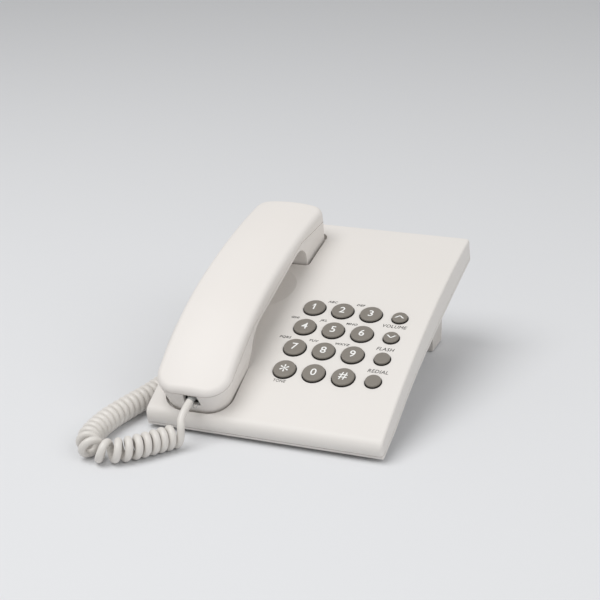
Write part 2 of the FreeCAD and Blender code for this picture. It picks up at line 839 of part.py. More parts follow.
handset_outer = handset_form(0.0)
handset_inner = handset_form(handset_wall)
shell = handset_outer.cut(handset_inner)
seam = above_seam(0.0)
groove = above_seam(-seam_groove / 2).cut(above_seam(seam_groove / 2)).cut(handset_form(seam_groove_depth))
outer_shell = shell.common(seam).cut(groove)
inner_shell = shell.cut(seam).cut(groove)

mouth_screw_v = 38.0
ear_screw_v = 159.2
screw_seat = block_bottom + 4.4
boss_low = screw_seat + 2.4
handset_boss = []
for v in (mouth_screw_v, ear_screw_v):
    handset_boss.append(post(handset_x, v, 3.2, boss_low, lift_out).common(handset_form(handset_wall / 2)))
outer_shell = fused([outer_shell] + handset_boss)
outer_shell = outer_shell.cut(fused([post(handset_x, v, pilot, boss_low - 1, boss_low + 10)
                                     for v in (mouth_screw_v, ear_screw_v)]))
slab["handset_outer_shell"] = outer_shell

inner_posts = []
for v in (mouth_screw_v, ear_screw_v):
    inner_posts.append(post(handset_x, v, 4.4, block_bottom, boss_low).common(handset_form(0.3)))
jack_x = handset_x + 1.5
jack_half = plug_width / 2 + plug_clearance + jack_wall
jack_rise = plug_height / 2 + plug_clearance + jack_wall
cuts = []
for v in (mouth_screw_v, ear_screw_v):
    cuts.append(post(handset_x, v, screw_head_radius + pocket_clearance, block_bottom - 1, screw_seat))
    cuts.append(post(handset_x, v, screw_radius + 0.25, screw_seat - 1, boss_low + 1))
recess_low = 7.2
recess_high = 15.4
recess_edges = [line(V(jack_x - 5.4, 0, recess_low), V(jack_x + 5.4, 0, recess_low)),
                line(V(jack_x + 5.4, 0, recess_low), V(jack_x + 4.4, 0, recess_high)),
                line(V(jack_x + 4.4, 0, recess_high), V(jack_x - 4.4, 0, recess_high)),
                line(V(jack_x - 4.4, 0, recess_high), V(jack_x - 5.4, 0, recess_low))]
recess = Part.Face(Part.Wire(recess_edges)).extrude(V(0, recess_v, 0))
cuts.append(recess)
receiver_v = 177.0
mic_v = 27.0
hole_circle = 7.0
hole_count = 8
for index in range(hole_count):
    angle = 2 * math.pi * index / hole_count
    cuts.append(post(handset_x + hole_circle * math.cos(angle), receiver_v + hole_circle * math.sin(angle),
                     0.9, block_bottom - 1, block_bottom + handset_wall + 0.1))
cuts.append(post(handset_x, receiver_v, 0.9, block_bottom - 1, block_bottom + handset_wall + 0.1))
for side in (-1, 0, 1):
    cuts.append(box(handset_x + side * 3.0 - 0.6, handset_x + side * 3.0 + 0.6, mic_v - 2.5, mic_v + 2.5,
                    block_bottom - 1, block_bottom + handset_wall + 0.1))
slab["handset_inner_shell"] = fused([inner_shell] + inner_posts).cut(fused(cuts))
slab["handset_screws"] = Part.makeCompound([screw(handset_x, v, screw_seat, 10.0, screw_head_radius,
                                                  screw_head_wall) for v in (mouth_screw_v, ear_screw_v)])

# Handset inner parts

inner_floor = block_bottom + handset_wall
ring_wall = 0.8
receiver_radius = 13.0
slab["receiver_ring"] = post(handset_x, receiver_v, receiver_radius, inner_floor, inner_floor + ring_wall).cut(
    post(handset_x, receiver_v, 10.5, inner_floor - 1, inner_floor + ring_wall + 1))
receiver_low = inner_floor + ring_wall
slab["receiver"] = fused([post(handset_x, receiver_v, receiver_radius, receiver_low, receiver_low + 5.0),
                          post(handset_x, receiver_v, 8.0, receiver_low + 5.0, receiver_low + 9.0)])
boot_high = inner_floor + 6.4
boot = post(handset_x, mic_v, 6.2, inner_floor, boot_high)
mic_seat = inner_floor + 1.0
slab["microphone_boot"] = boot.cut(post(handset_x, mic_v, 4.9, mic_seat, boot_high + 1)).cut(
    post(handset_x, mic_v, 2.0, inner_floor - 1, mic_seat + 1))
slab["microphone"] = post(handset_x, mic_v, 4.85, mic_seat, boot_high - 0.2)
handset_jack = box(jack_x - jack_half, jack_x + jack_half, recess_v, recess_v + jack_depth,
                   cord_exit_n - jack_rise, cord_exit_n + jack_rise)
socket = box(jack_x - plug_width / 2 - plug_clearance, jack_x + plug_width / 2 + plug_clearance,
             recess_v - 1, recess_v + jack_depth - jack_wall,
             cord_exit_n - plug_height / 2 - plug_clearance, cord_exit_n + plug_height / 2 + plug_clearance)
slab["handset_jack"] = handset_jack.cut(socket)
weight_low = neck_bottom + handset_wall + 0.1
slab["handset_weight"] = box(handset_x - 7.0, handset_x + 7.0, 82.0, 124.0, weight_low, weight_low + 4.5)

# Plug in the handset, with the short piece of cord inside the recess

wire_radius = wire_diameter / 2
exit_v = handset_front - 1.3
plug_back = recess_v - plug_out + 0.6
handset_plug = modular_plug(V(0, 0, 0), V(0, 1, 0), V(0, 0, 1))
handset_plug.translate(V(jack_x, plug_back, cord_exit_n))
stub = Part.makeCylinder(wire_radius, plug_back - exit_v, V(jack_x, exit_v, cord_exit_n), V(0, 1, 0))
cord_slab["cord_handset_plug"] = fused([handset_plug, stub])

# Leads inside the handset and the base

lead_radius = 0.8
mic_lead_radius = 0.6
jack_rear_v = recess_v + jack_depth
lead_x = handset_x + 12.0
slab["receiver_leads"] = tube("receiver_leads", [
    V(handset_x, receiver_v, receiver_low + 9.05), V(handset_x, receiver_v, receiver_low + 15.0),
    V(handset_x + 3, receiver_v - 8, 26.0), V(handset_x + 8, 155.0, 31.0), V(lead_x, 137.0, 31.2),
    V(lead_x + 0.5, 116.0, 31.4), V(lead_x, 94.0, 31.3), V(lead_x - 0.5, 74.0, 31.1),
    V(handset_x + 9, 57.0, 29.0), V(handset_x + 6, 43.0, 22.0), V(jack_x + 0.8, 31.0, 13.0),
    V(jack_x, jack_rear_v + 0.1, 12.6)], lead_radius)
slab["microphone_leads"] = tube("microphone_leads", [
    V(handset_x - 2, mic_v + 2, boot_high - 0.15), V(handset_x - 2, mic_v + 2, boot_high + 5.0),
    V(handset_x - 2, mic_v - 1, boot_high + 9.0), V(jack_x - 3, jack_rear_v + 0.05, boot_high + 9.2)],
    mic_lead_radius)
slab["sounder_leads"] = tube("sounder_leads", [
    V(sounder_x, sounder_v - 4.05, sounder_seat + 5.2), V(sounder_x, sounder_v - 10.0, sounder_seat + 5.2),
    V(sounder_x + 1.0, 153.0, 0.2), V(sounder_x + 3.5, board_rear - 5.0, board_top + 0.65)], mic_lead_radius)

# Stand, its pads, and the front feet

stand_rear = base_length * math.cos(tilt) - stand_rear_inset
stand_front = stand_rear - stand_depth
stand_edges = [line(V(0, stand_front, pad_wall - pad_sink), V(0, stand_rear, pad_wall - pad_sink)),
               line(V(0, stand_rear, pad_wall - pad_sink), V(0, stand_rear, 120.0)),
               line(V(0, stand_rear, 120.0), V(0, stand_front - stand_front_slope, 120.0)),
               line(V(0, stand_front - stand_front_slope, 120.0), V(0, stand_front - stand_front_slope, 55.0)),
               line(V(0, stand_front - stand_front_slope, 55.0), V(0, stand_front, pad_wall - pad_sink))]
above_under = stand_up(under_block(0.0))
stand = side_prism(stand_edges, -stand_half, stand_half).cut(above_under)
stand_bottom = pad_wall - pad_sink
hollow_edges = [line(V(0, stand_front + stand_wall, stand_bottom + stand_wall),
                     V(0, stand_rear - stand_wall, stand_bottom + stand_wall)),
                line(V(0, stand_rear - stand_wall, stand_bottom + stand_wall), V(0, stand_rear - stand_wall, 120.0)),
                line(V(0, stand_rear - stand_wall, 120.0),
                     V(0, stand_front - stand_front_slope + stand_wall, 120.0)),
                line(V(0, stand_front - stand_front_slope + stand_wall, 120.0),
                     V(0, stand_front - stand_front_slope + stand_wall, 55.0)),
                line(V(0, stand_front - stand_front_slope + stand_wall, 55.0),
                     V(0, stand_front + stand_wall, stand_bottom + stand_wall))]
bay_count = 4
bay_pitch = (2 * stand_half - stand_wall) / bay_count
bays = []
for index in range(bay_count):
    left = -stand_half + stand_wall + index * bay_pitch
    bays.append(side_prism(hollow_edges, left, left + bay_pitch - stand_wall))
stand = stand.cut(fused(bays))
pad_x = stand_half - 14.0
pads = []
for x in (-pad_x, pad_x):
    pads.append(box(x - 10.0, x + 10.0, stand_front + 5.0, stand_rear - 5.0, 0.0, pad_wall))
stand = stand.cut(fused(pads))
table["stand"] = stand
table["stand_feet"] = Part.makeCompound(pads)
feet = []
for x in (-foot_x, foot_x):
    foot = post(x, foot_reach, foot_radius, 0.0, lift_out)
    feet.append(foot.cut(stand_up(under_block(0.0))))
table["front_feet"] = Part.makeCompound(feet)

# Curly cord: the centreline lies on the table, and the coil's turns wind round it

coil_radius = (coil_diameter - wire_diameter) / 2
coil_height = coil_diameter / 2 + coil_lift
coil_route = [(-46.2, -14.4), (-52.4, -22.8), (-59.0, -32.0), (-66.8, -41.2), (-76.4, -47.6),
              (-87.0, -46.4), (-93.6, -35.8), (-95.2, -20.8), (-94.8, -6.0), (-92.8, 6.5), (-90.4, 18.2),
              (-88.1, 29.3), (-86.2, 40.0), (-84.8, 51.0)]
spine = Part.BSplineCurve()
spine.buildFromPoles([V(x, y, coil_height) for x, y in coil_route], False, 2)

sample_count = 1500
spine_points = []
spine_turns = []
turn = coil_start_turn
last = None
for index in range(sample_count + 1):
    u = spine.FirstParameter + (spine.LastParameter - spine.FirstParameter) * index / sample_count
    here = spine.value(u)
    if last is not None:
        bend = spine.curvature(min(max(u, 1e-6), spine.LastParameter - 1e-6))
        inner = (wire_diameter + coil_gap) / (1 - (coil_radius + coil_bend_extra) * bend)
        turn += (here - last).Length / max(coil_pitch, inner)
    spine_points.append((u, here))
    spine_turns.append(turn)
    last = here
whole_turns = spine_turns[-1]
wanted_turns = math.floor(whole_turns - coil_end_turn) + coil_end_turn
turn_scale = (wanted_turns - coil_start_turn) / (whole_turns - coil_start_turn)
spine_turns = [coil_start_turn + (value - coil_start_turn) * turn_scale for value in spine_turns]


def coil_point(turn_value):
    """Point of the winding at a number of turns along the spine. It winds to the left."""
    low = 0
    high = sample_count
    while high - low > 1:
        middle = (low + high) // 2
        if spine_turns[middle] <= turn_value:
            low = middle
        else:
            high = middle
    share = (turn_value - spine_turns[low]) / (spine_turns[high] - spine_turns[low])
    u = spine_points[low][0] + (spine_points[high][0] - spine_points[low][0]) * share
    centre = spine.value(u)
    ahead = spine.tangent(u)[0]
    side = ahead.cross(UP)
    angle = 2 * math.pi * turn_value
    return centre + UP * (coil_radius * math.cos(angle)) - side * (coil_radius * math.sin(angle))


def coil_direction(turn_value):
    step = 0.002
    low = max(turn_value - step, coil_start_turn)
    high = min(turn_value + step, wanted_turns)
    direction = coil_point(high) - coil_point(low)
    direction.normalize()
    return direction


def arc_between(a, corner, b):
    """An arc from a to b whose end tangents meet at corner."""
    back = a - corner
    ahead = b - corner
    reach = (back.Length + ahead.Length) / 2
    back.normalize()
    ahead.normalize()
    half_turn = (math.pi - back.getAngle(ahead)) / 2
    radius = reach / math.tan(half_turn)
    inward = back + ahead
    inward.normalize()
    return arc(a, corner + inward * (radius / math.cos(half_turn) - radius), b)


def biarc(a, ahead_a, b, ahead_b):
    """Two tangent arcs from a to b, with the given directions at the ends."""
    across = b - a
    both = ahead_a + ahead_b
    spread = 2 * (1 - ahead_a.dot(ahead_b))
    reach = (math.sqrt(across.dot(both) ** 2 + spread * across.dot(across)) - across.dot(both)) / spread
    corner_a = a + ahead_a * reach
    corner_b = b - ahead_b * reach
    middle = (corner_a + corner_b) * 0.5
    return [arc_between(a, corner_a, middle), arc_between(middle, corner_b, b)]


coil_steps = round((wanted_turns - coil_start_turn) * 2)
coil_edges = []
for index in range(coil_steps):
    first = coil_start_turn + (wanted_turns - coil_start_turn) * index / coil_steps
    second = coil_start_turn + (wanted_turns - coil_start_turn) * (index + 1) / coil_steps
    coil_edges += biarc(coil_point(first), coil_direction(first), coil_point(second), coil_direction(second))
cord["cord_curls"] = swept(coil_edges, wire_radius)
coil_length = sum(edge.Length for edge in coil_edges)
print("cord_curls turns", round(wanted_turns - coil_start_turn, 2), "length", round(coil_length, 1),
      "least arc radius", round(min(edge.Curve.Radius for edge in coil_edges), 2),
      "volume share", round(cord["cord_curls"].Volume / (math.pi * wire_radius ** 2 * coil_length), 4))

points_per_arc = 10
gap_points = []
for edge in coil_edges:
    gap_points += edge.discretize(points_per_arc + 1)[:-1]
turn_points = points_per_arc * 4
least = big
for index in range(len(gap_points)):
    for other in range(index + turn_points // 2, min(index + 3 * turn_points, len(gap_points))):
        least = min(least, (gap_points[index] - gap_points[other]).Length)
print("cord_curls least gap to itself", round(least - wire_diameter, 2))

# Straight stretches of the cord: one to the handset, one to the base

exit_point = table_point(jack_x, exit_v, cord_exit_n)
exit_way = V(0, -math.cos(tilt), -math.sin(tilt))
coil_start = coil_point(coil_start_turn)
coil_in = coil_direction(coil_start_turn)
lead_route = [exit_point, clipped_line(exit_point, exit_way, 5.0), V(-43.5, -9.9, 20.5),
              V(-43.6, -13.4, 17.7), clipped_line(coil_start, coil_in, -5.5), coil_start]
cord["cord_lead"] = tube("cord_lead", lead_route, wire_radius)
base_point = table_point(jack_out - plug_out, cord_jack_v, cord_jack_n)
coil_end = coil_point(wanted_turns)
coil_out = coil_direction(wanted_turns)
tail_route = [coil_end, clipped_line(coil_end, coil_out, 7.0), V(-87.4, 59.2, 20.9), V(-88.0, 66.2, 25.3),
              V(-88.2, 73.2, 29.6), V(-88.3, 80.4, 33.9), V(-88.0, 88.05, 38.2), V(-86.45, 91.3, 40.05),
              V(-83.6, 93.8, 41.45), V(base_point.x - 3.25, base_point.y, base_point.z), base_point]
cord["cord_tail"] = tube("cord_tail", tail_route, wire_radius)

# Everything is stood up, centred over the origin and written out

solids = {}
for name, shape in slab.items():
    solids[name] = stand_up(shape)
for name, shape in table.items():
    solids[name] = shape
bounds = FreeCAD.BoundBox()
for shape in solids.values():
    bounds.add(shape.optimalBoundingBox(False, False))
for name, shape in cord_slab.items():
    solids[name] = stand_up(shape)
for name, shape in cord.items():
    solids[name] = shape
shift = V(0, -bounds.Center.y, 0)
print("object", [round(value, 2) for value in (bounds.XLength, bounds.YLength, bounds.ZLength)],
      "shift", [round(value, 3) for value in shift])
os.makedirs("parts", exist_ok=True)
for name, shape in solids.items():
    placed = shape.copy()
    placed.translate(shift)
    placed.exportStep("parts/" + name + ".step")
print("wrote", len(solids), "parts")
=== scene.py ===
import bpy
import math
from mathutils import Matrix, Vector


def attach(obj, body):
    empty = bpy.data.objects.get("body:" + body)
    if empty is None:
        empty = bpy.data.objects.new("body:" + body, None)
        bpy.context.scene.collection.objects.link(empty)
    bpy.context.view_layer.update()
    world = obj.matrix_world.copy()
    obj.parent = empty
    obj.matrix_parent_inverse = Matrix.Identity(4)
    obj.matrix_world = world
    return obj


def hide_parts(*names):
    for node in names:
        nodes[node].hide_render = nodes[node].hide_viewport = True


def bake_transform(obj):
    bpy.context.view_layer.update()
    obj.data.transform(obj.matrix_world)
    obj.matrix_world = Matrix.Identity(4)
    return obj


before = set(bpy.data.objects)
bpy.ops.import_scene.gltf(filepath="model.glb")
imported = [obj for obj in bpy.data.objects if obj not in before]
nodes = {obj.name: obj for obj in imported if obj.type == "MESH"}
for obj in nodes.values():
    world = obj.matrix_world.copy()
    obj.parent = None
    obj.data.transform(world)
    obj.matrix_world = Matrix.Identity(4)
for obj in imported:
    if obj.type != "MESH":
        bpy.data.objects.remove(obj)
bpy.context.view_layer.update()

# Camera. It stands in front of the phone and to its right, a little above it, as in the photograph.
# Its turn, height, roll and distance were fitted to the keys and to the base's corners.
camera_turn = math.radians(20.55)
camera_rise = math.radians(20.35)
camera_roll = math.radians(-0.54)
camera_distance = 1.0319
camera_aim = Vector((-0.04566, 0.09156, 0.020))
camera_lens = 86.93
camera_sensor = 36
back = Vector((math.sin(camera_turn) * math.cos(camera_rise),
               -math.cos(camera_turn) * math.cos(camera_rise), math.sin(camera_rise)))
level = Vector((math.cos(camera_turn), math.sin(camera_turn), 0))
upright = back.cross(level)
right = level * math.cos(camera_roll) + upright * math.sin(camera_roll)
up = upright * math.cos(camera_roll) - level * math.sin(camera_roll)
lens = bpy.data.cameras.new("camera")
lens.lens = camera_lens
lens.sensor_width = camera_sensor
camera = bpy.data.objects.new("camera", lens)
bpy.context.scene.collection.objects.link(camera)
camera.matrix_world = Matrix.Translation(camera_aim + back * camera_distance) @ Matrix(
    (right, up, back)).transposed().to_4x4()
bpy.context.scene.camera = camera


# Finishes. Each is a material with one shader. Fine noise in the place of the piece varies its
# colour and its gloss a little, and most have a shallow bump from the same noise.
gloss_spread = 0.1
ink_shade = 0.92


def hue(red, green, blue):
    """Linear colour of an eight bit screen colour."""
    channels = []
    for value in (red, green, blue):
        share = value / 255
        channels.append(share / 12.92 if share <= 0.04045 else ((share + 0.055) / 1.055) ** 2.4)
    return (*channels, 1)


class Wire:
    """The output of a shader node. Sums and products of wires add Math nodes."""

    def __init__(self, finish, socket):
        self.finish = finish
        self.socket = socket

    def math(self, operation, first, second):
        return self.finish.node("ShaderNodeMath", {"operation": operation}, {0: first, 1: second})

    def __add__(self, other):
        return self.math("ADD", self, other)

    def __radd__(self, other):
        return self.math("ADD", other, self)

    def __sub__(self, other):
        return self.math("SUBTRACT", self, other)

    def __rsub__(self, other):
        return self.math("SUBTRACT", other, self)

    def __mul__(self, other):
        return self.math("MULTIPLY", self, other)

    def __rmul__(self, other):
        return self.math("MULTIPLY", other, self)


class Finish:
    """A material with one Principled shader, and a short way to add nodes to it."""

    def __init__(self, name, **sockets):
        self.material = bpy.data.materials.new(name)
        self.material.use_nodes = True
        self.tree = self.material.node_tree
        self.shader = self.tree.nodes["Principled BSDF"]
        for socket, value in sockets.items():
            self.give(self.shader, socket.replace("_", " ").title().replace("Ior", "IOR"), value)

    def give(self, node, socket, value):
        if isinstance(value, Wire):
            self.tree.links.new(value.socket, node.inputs[socket])
        else:
            node.inputs[socket].default_value = value

    def node(self, kind, settings=None, sockets=None, output=0):
        made = self.tree.nodes.new(kind)
        for name, value in (settings or {}).items():
            setattr(made, name, value)
        for socket, value in (sockets or {}).items():
            self.give(made, socket, value)
        return Wire(self, made.outputs[output])

    def place(self):
        return self.node("ShaderNodeTexCoord", output=3)

    def grain(self, per_metre, detail=2.0, rough=0.5):
        return self.node("ShaderNodeTexNoise", sockets={
            "Vector": self.place(), "Scale": per_metre, "Detail": detail, "Roughness": rough})

    def blend(self, share, first, second):
        return self.node("ShaderNodeMix", {"data_type": "RGBA"}, {0: share, 6: first, 7: second}, 2)

    def bump(self, height, depth):
        self.give(self.shader, "Normal", self.node("ShaderNodeBump", sockets={
            "Strength": 1.0, "Distance": depth, "Height": height}))


def plastic(name, colour, deeper, roughness, grain_per_metre, grain_depth):
    """Moulded plastic: nearly even in colour, with a fine grain in its gloss and surface."""
    finish = Finish(name)
    cloud = finish.grain(14.0)
    finish.give(finish.shader, "Base Color", finish.blend(cloud, deeper, colour))
    grain = finish.grain(grain_per_metre, 3.0, 0.6)
    glossy = roughness - gloss_spread / 2
    finish.give(finish.shader, "Roughness", glossy + gloss_spread * grain)
    finish.bump(grain, grain_depth)
    return finish.material


def dress(names, material):
    """Gives solids of the model a finish."""
    for name in names:
        nodes[name].data.materials.clear()
        nodes[name].data.materials.append(material)


# Curly cord. It is a satin plastic jacket wound to the left, in one length from the plug in the
# handset to the plug in the left wall. Its first turns stretch when the handset is lifted, so they
# are a piece of their own, held by neither the base nor the handset.
wire_diameter = 0.0047
coil_diameter = 0.015
coil_pitch = 0.0052
coil_gap = 0.0005
coil_bend_extra = 0.0004
coil_start_turn = 0.2
coil_end_turn = 0.875
coil_height = 0.0076
table_shift = -0.101925
points_per_turn = 16
stretch_turns = 9
lead_run = 0.0055
tail_run = 0.007
route_resolution = 80
cord_resolution = 3
cord_sides = 16
least_step = 1e-6
weld_distance = 1e-7
smooth_angle = math.radians(50)
coil_route = [(-46.2, -14.4), (-52.4, -22.8), (-59.0, -32.0), (-66.8, -41.2), (-76.4, -47.6),
              (-87.0, -46.4), (-93.6, -35.8), (-95.2, -20.8), (-94.8, -6.0), (-92.8, 6.5),
              (-90.4, 18.2), (-88.1, 29.3), (-86.2, 40.0), (-84.8, 51.0)]
lead_route = [(-43.5, -0.666, 23.896), (-43.5, -5.42, 22.35), (-43.5, -9.9, 20.5),
              (-43.6, -13.4, 17.7)]
tail_route = [(-87.4, 59.2, 20.9), (-88.0, 66.2, 25.3), (-88.2, 73.2, 29.6), (-88.3, 80.4, 33.9),
              (-88.0, 88.05, 38.2), (-86.45, 91.3, 40.05), (-83.6, 93.8, 41.45),
              (-79.85, 95.16, 42.22), (-76.6, 95.16, 42.22)]


def from_table(x, y, z):
    """A point of the cord's route, from millimetres on the table, in metres."""
    return Vector((x / 1000, y / 1000 + table_shift, z / 1000))


def smooth_curve(name, points, resolution):
    """A curve on a smooth line through its control points, with a width of nothing."""
    data = bpy.data.curves.new(name, "CURVE")
    data.dimensions = "3D"
    data.resolution_u = resolution
    spline = data.splines.new("NURBS")
    spline.points.add(len(points) - 1)
    for point, place in zip(spline.points, points):
        point.co = (*place, 1)
    spline.order_u = 3
    spline.use_endpoint_u = True
    made = bpy.data.objects.new(name, data)
    bpy.context.scene.collection.objects.link(made)
    return made


def line_of(curve):
    """The points that a curve passes through."""
    line = bpy.data.meshes.new_from_object(curve)
    points = []
    for vertex in line.vertices:
        if not points or (vertex.co - points[-1]).length > least_step:
            points.append(vertex.co.copy())
    bpy.data.meshes.remove(line)
    return points


def round_cord(name, points, resolution, diameter, sides):
    """A closed round cord along a smooth line, as a mesh, and the line's points."""
    curve = smooth_curve(name, points, resolution)
    path = line_of(curve)
    curve.data.bevel_depth = diameter / 2
    curve.data.bevel_resolution = sides // 2 - 2
    curve.data.use_fill_caps = True
    mesh = bpy.data.meshes.new_from_object(curve)
    bpy.data.objects.remove(curve)
    made = bpy.data.objects.new(name, mesh)
    bpy.context.scene.collection.objects.link(made)
    bpy.ops.object.select_all(action="DESELECT")
    made.select_set(True)
    bpy.context.view_layer.objects.active = made
    bpy.ops.object.mode_set(mode="EDIT")
    bpy.ops.mesh.select_all(action="SELECT")
    bpy.ops.mesh.remove_doubles(threshold=weld_distance)
    bpy.ops.mesh.normals_make_consistent(inside=False)
    bpy.ops.object.mode_set(mode="OBJECT")
    bpy.ops.object.shade_smooth_by_angle(angle=smooth_angle)
    return made, path


route_points = [from_table(x, y, coil_height * 1000) for x, y in coil_route]
route_curve = smooth_curve("cord_route", route_points, route_resolution)
route_line = line_of(route_curve)
bpy.data.objects.remove(route_curve)
coil_radius = (coil_diameter - wire_diameter) / 2
route_turns = [coil_start_turn]
for index in range(1, len(route_line)):
    run = route_line[index] - route_line[index - 1]
    near = route_line[index - 1] - route_line[max(index - 2, 0)]
    bend = near.angle(run) / run.length if index > 1 and near.length > 0 else 0
    crowded = (wire_diameter + coil_gap) / (1 - (coil_radius + coil_bend_extra) * bend)
    route_turns.append(route_turns[-1] + run.length / max(coil_pitch, crowded))
whole_turns = math.floor(route_turns[-1] - coil_end_turn) + coil_end_turn
turn_scale = (whole_turns - coil_start_turn) / (route_turns[-1] - coil_start_turn)
route_turns = [coil_start_turn + (value - coil_start_turn) * turn_scale for value in route_turns]
winding = []
place = 0
drawn_radius = coil_radius * 2 / (1 + math.cos(math.pi / points_per_turn))
for step in range(round((whole_turns - coil_start_turn) * points_per_turn) + 1):
    turn = min(coil_start_turn + step / points_per_turn, whole_turns)
    while place < len(route_turns) - 2 and route_turns[place + 1] < turn:
        place += 1
    share = (turn - route_turns[place]) / (route_turns[place + 1] - route_turns[place])
    centre = route_line[place].lerp(route_line[place + 1], share)
    ahead = (route_line[place + 1] - route_line[place]).normalized()
    across = ahead.cross(Vector((0, 0, 1)))
    angle = 2 * math.pi * turn
    rise = Vector((0, 0, drawn_radius * math.cos(angle)))
    winding.append(centre + rise - across * drawn_radius * math.sin(angle))
split = stretch_turns * points_per_turn
join = (winding[split] + winding[split + 1]) / 2
lead_in = (winding[0] - winding[1]).normalized()
tail_out = (winding[-1] - winding[-2]).normalized()
first_points = [from_table(*point) for point in lead_route] + [winding[0] + lead_in * lead_run]
first_points += winding[:split + 1] + [join]
last_points = [join] + winding[split + 1:] + [winding[-1] + tail_out * tail_run]
last_points += [from_table(*point) for point in tail_route]

jacket = Finish("cord_jacket")
jacket_cloud = jacket.grain(60.0)
jacket_colour = jacket.blend(jacket_cloud, hue(212, 208, 202), hue(226, 222, 217))
jacket.give(jacket.shader, "Base Color", jacket_colour)
jacket_grain = jacket.grain(900.0, 3.0)
jacket.give(jacket.shader, "Roughness", 0.28 + gloss_spread * jacket_grain)
jacket.bump(jacket_grain, 0.00004)
cord_first, first_path = round_cord("cord_to_handset", first_points, cord_resolution,
                                    wire_diameter, cord_sides)
cord_last, last_path = round_cord("cord_to_base", last_points, cord_resolution,
                                  wire_diameter, cord_sides)


for cord in (cord_first, cord_last):
    cord.data.materials.append(jacket.material)
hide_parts("cord_lead")
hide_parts("cord_curls", "cord_tail")
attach(cord_last, "base")
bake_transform(cord_first)

# Housings, stand and handset shells. They are injection moulded in warm white plastic, with a fine
# grain on the base and a smoother satin on the handset.
housing_white = plastic("housing_white", hue(227, 223, 219), hue(223, 219, 214),
                        roughness=0.5, grain_per_metre=2600.0, grain_depth=0.00002)
handset_white = plastic("handset_white", hue(230, 226, 222), hue(227, 222, 217),
                        roughness=0.5, grain_per_metre=2000.0, grain_depth=0.00001)
stand_white = plastic("stand_white", hue(214, 210, 205), hue(209, 204, 199),
                      roughness=0.55, grain_per_metre=2600.0, grain_depth=0.00002)
dress(["upper_housing", "lower_housing", "handset_hanger", "hook_button"], housing_white)
dress(["handset_outer_shell", "handset_inner_shell"], handset_white)
dress(["stand"], stand_white)

# Keys. Each is a round cap of grey plastic with a softly rounded rim. Its number or sign is printed
# in white on its top, and rides down with it when it is pressed. The lower part of its side and its
# flange, up to 0.7 mm over the housing's face, are coloured dark as painted shade of the gap round
# it.
digits = ["key_0", "key_1", "key_2", "key_3", "key_4", "key_5", "key_6", "key_7", "key_8", "key_9"]
signs = ["key_star", "key_hash", "key_volume_up", "key_volume_down", "key_flash", "key_redial"]
base_tilt = math.radians(18.0)
front_edge_height = 0.0115
top_rise = 0.009
half_length = 0.10515
top_radius = (half_length ** 2 + top_rise ** 2) / (2 * top_rise)
key_proud = 0.0018
# Painted shade: below this height over the housing's face the keys are coloured dark, fading to
# grey over the next 0.3 mm.
painted_shade_height = 0.0007
painted_shade_fade = 0.0003
slab = Matrix.Translation((0, table_shift, front_edge_height)) @ Matrix.Rotation(base_tilt, 4, "X")
level_slab = slab.inverted()
key_grey = Finish("key_grey")
slab_place = key_grey.node("ShaderNodeMapping", sockets={
    "Vector": key_grey.place(), "Location": level_slab.translation,
    "Rotation": level_slab.to_euler()})
slab_v = key_grey.node("ShaderNodeSeparateXYZ", sockets={"Vector": slab_place}, output=1)
slab_n = key_grey.node("ShaderNodeSeparateXYZ", sockets={"Vector": slab_place}, output=2)
from_middle = slab_v - half_length
over_face = slab_n - top_rise + from_middle * from_middle * (0.5 / top_radius)
# Painted shade: the keys are dark grey-brown low on their sides and flange, and their own grey
# above.
cap = key_grey.node("ShaderNodeMapRange", sockets={
    "Value": over_face, "From Min": painted_shade_height, "From Max": painted_shade_height + painted_shade_fade})
key_cloud = key_grey.grain(1800.0, 3.0, 0.6)
cap_colour = key_grey.blend(key_cloud, hue(122, 116, 108), hue(132, 126, 118))
key_grey.give(key_grey.shader, "Base Color", key_grey.blend(cap, hue(48, 45, 41), cap_colour))
key_grey.give(key_grey.shader, "Roughness", 0.4 + gloss_spread * key_cloud)
key_grey.bump(key_cloud, 0.00001)
dress(digits + signs, key_grey.material)


ink_wall = 0.00012
letter_spacing = 1.05
letter_resolution = 3


def on_top(x, v, raise_by):
    """A place on the arched top face, raised by a height, that turns flat print to lie on it."""
    slope = math.asin((half_length - v) / (top_radius + raise_by))
    n = top_rise - top_radius + (top_radius + raise_by) * math.cos(slope)
    return slab @ Matrix.Translation((x, v, n)) @ Matrix.Rotation(slope, 4, "X")


def printed(name, words, place, ink, size, width=1.0, slant=0.0, weight=0.0):
    """Flat print with a thin body, half sunk in the surface that carries it."""
    bpy.ops.object.select_all(action="DESELECT")
    bpy.ops.object.text_add()
    made = bpy.context.object
    made.name = name
    made.data.body = words
    made.data.size = size
    made.data.shear = slant
    made.data.offset = weight
    made.data.align_x = "CENTER"
    made.data.align_y = "CENTER"
    made.data.space_character = letter_spacing
    made.data.resolution_u = letter_resolution
    made.data.extrude = ink_wall / 2
    bpy.ops.object.convert(target="MESH")
    corners = [vertex.co for vertex in made.data.vertices]
    middle = (max(c.x for c in corners) + min(c.x for c in corners)) / 2
    centre = (max(c.y for c in corners) + min(c.y for c in corners)) / 2
    widen = Matrix.Scale(width, 4, (1, 0, 0))
    made.data.transform(place @ widen @ Matrix.Translation((-middle, -centre, 0)))
    made.data.materials.clear()
    made.data.materials.append(ink)
    return made


def ink(name, colour):
    """Printing ink, a little uneven in colour and gloss."""
    finish = Finish(name)
    cloud = finish.grain(3000.0)
    deeper = [value * ink_shade for value in colour[:3]] + [1]
    finish.give(finish.shader, "Base Color", finish.blend(cloud, deeper, colour))
    finish.give(finish.shader, "Roughness", 0.4 + gloss_spread * cloud)
    return finish.material


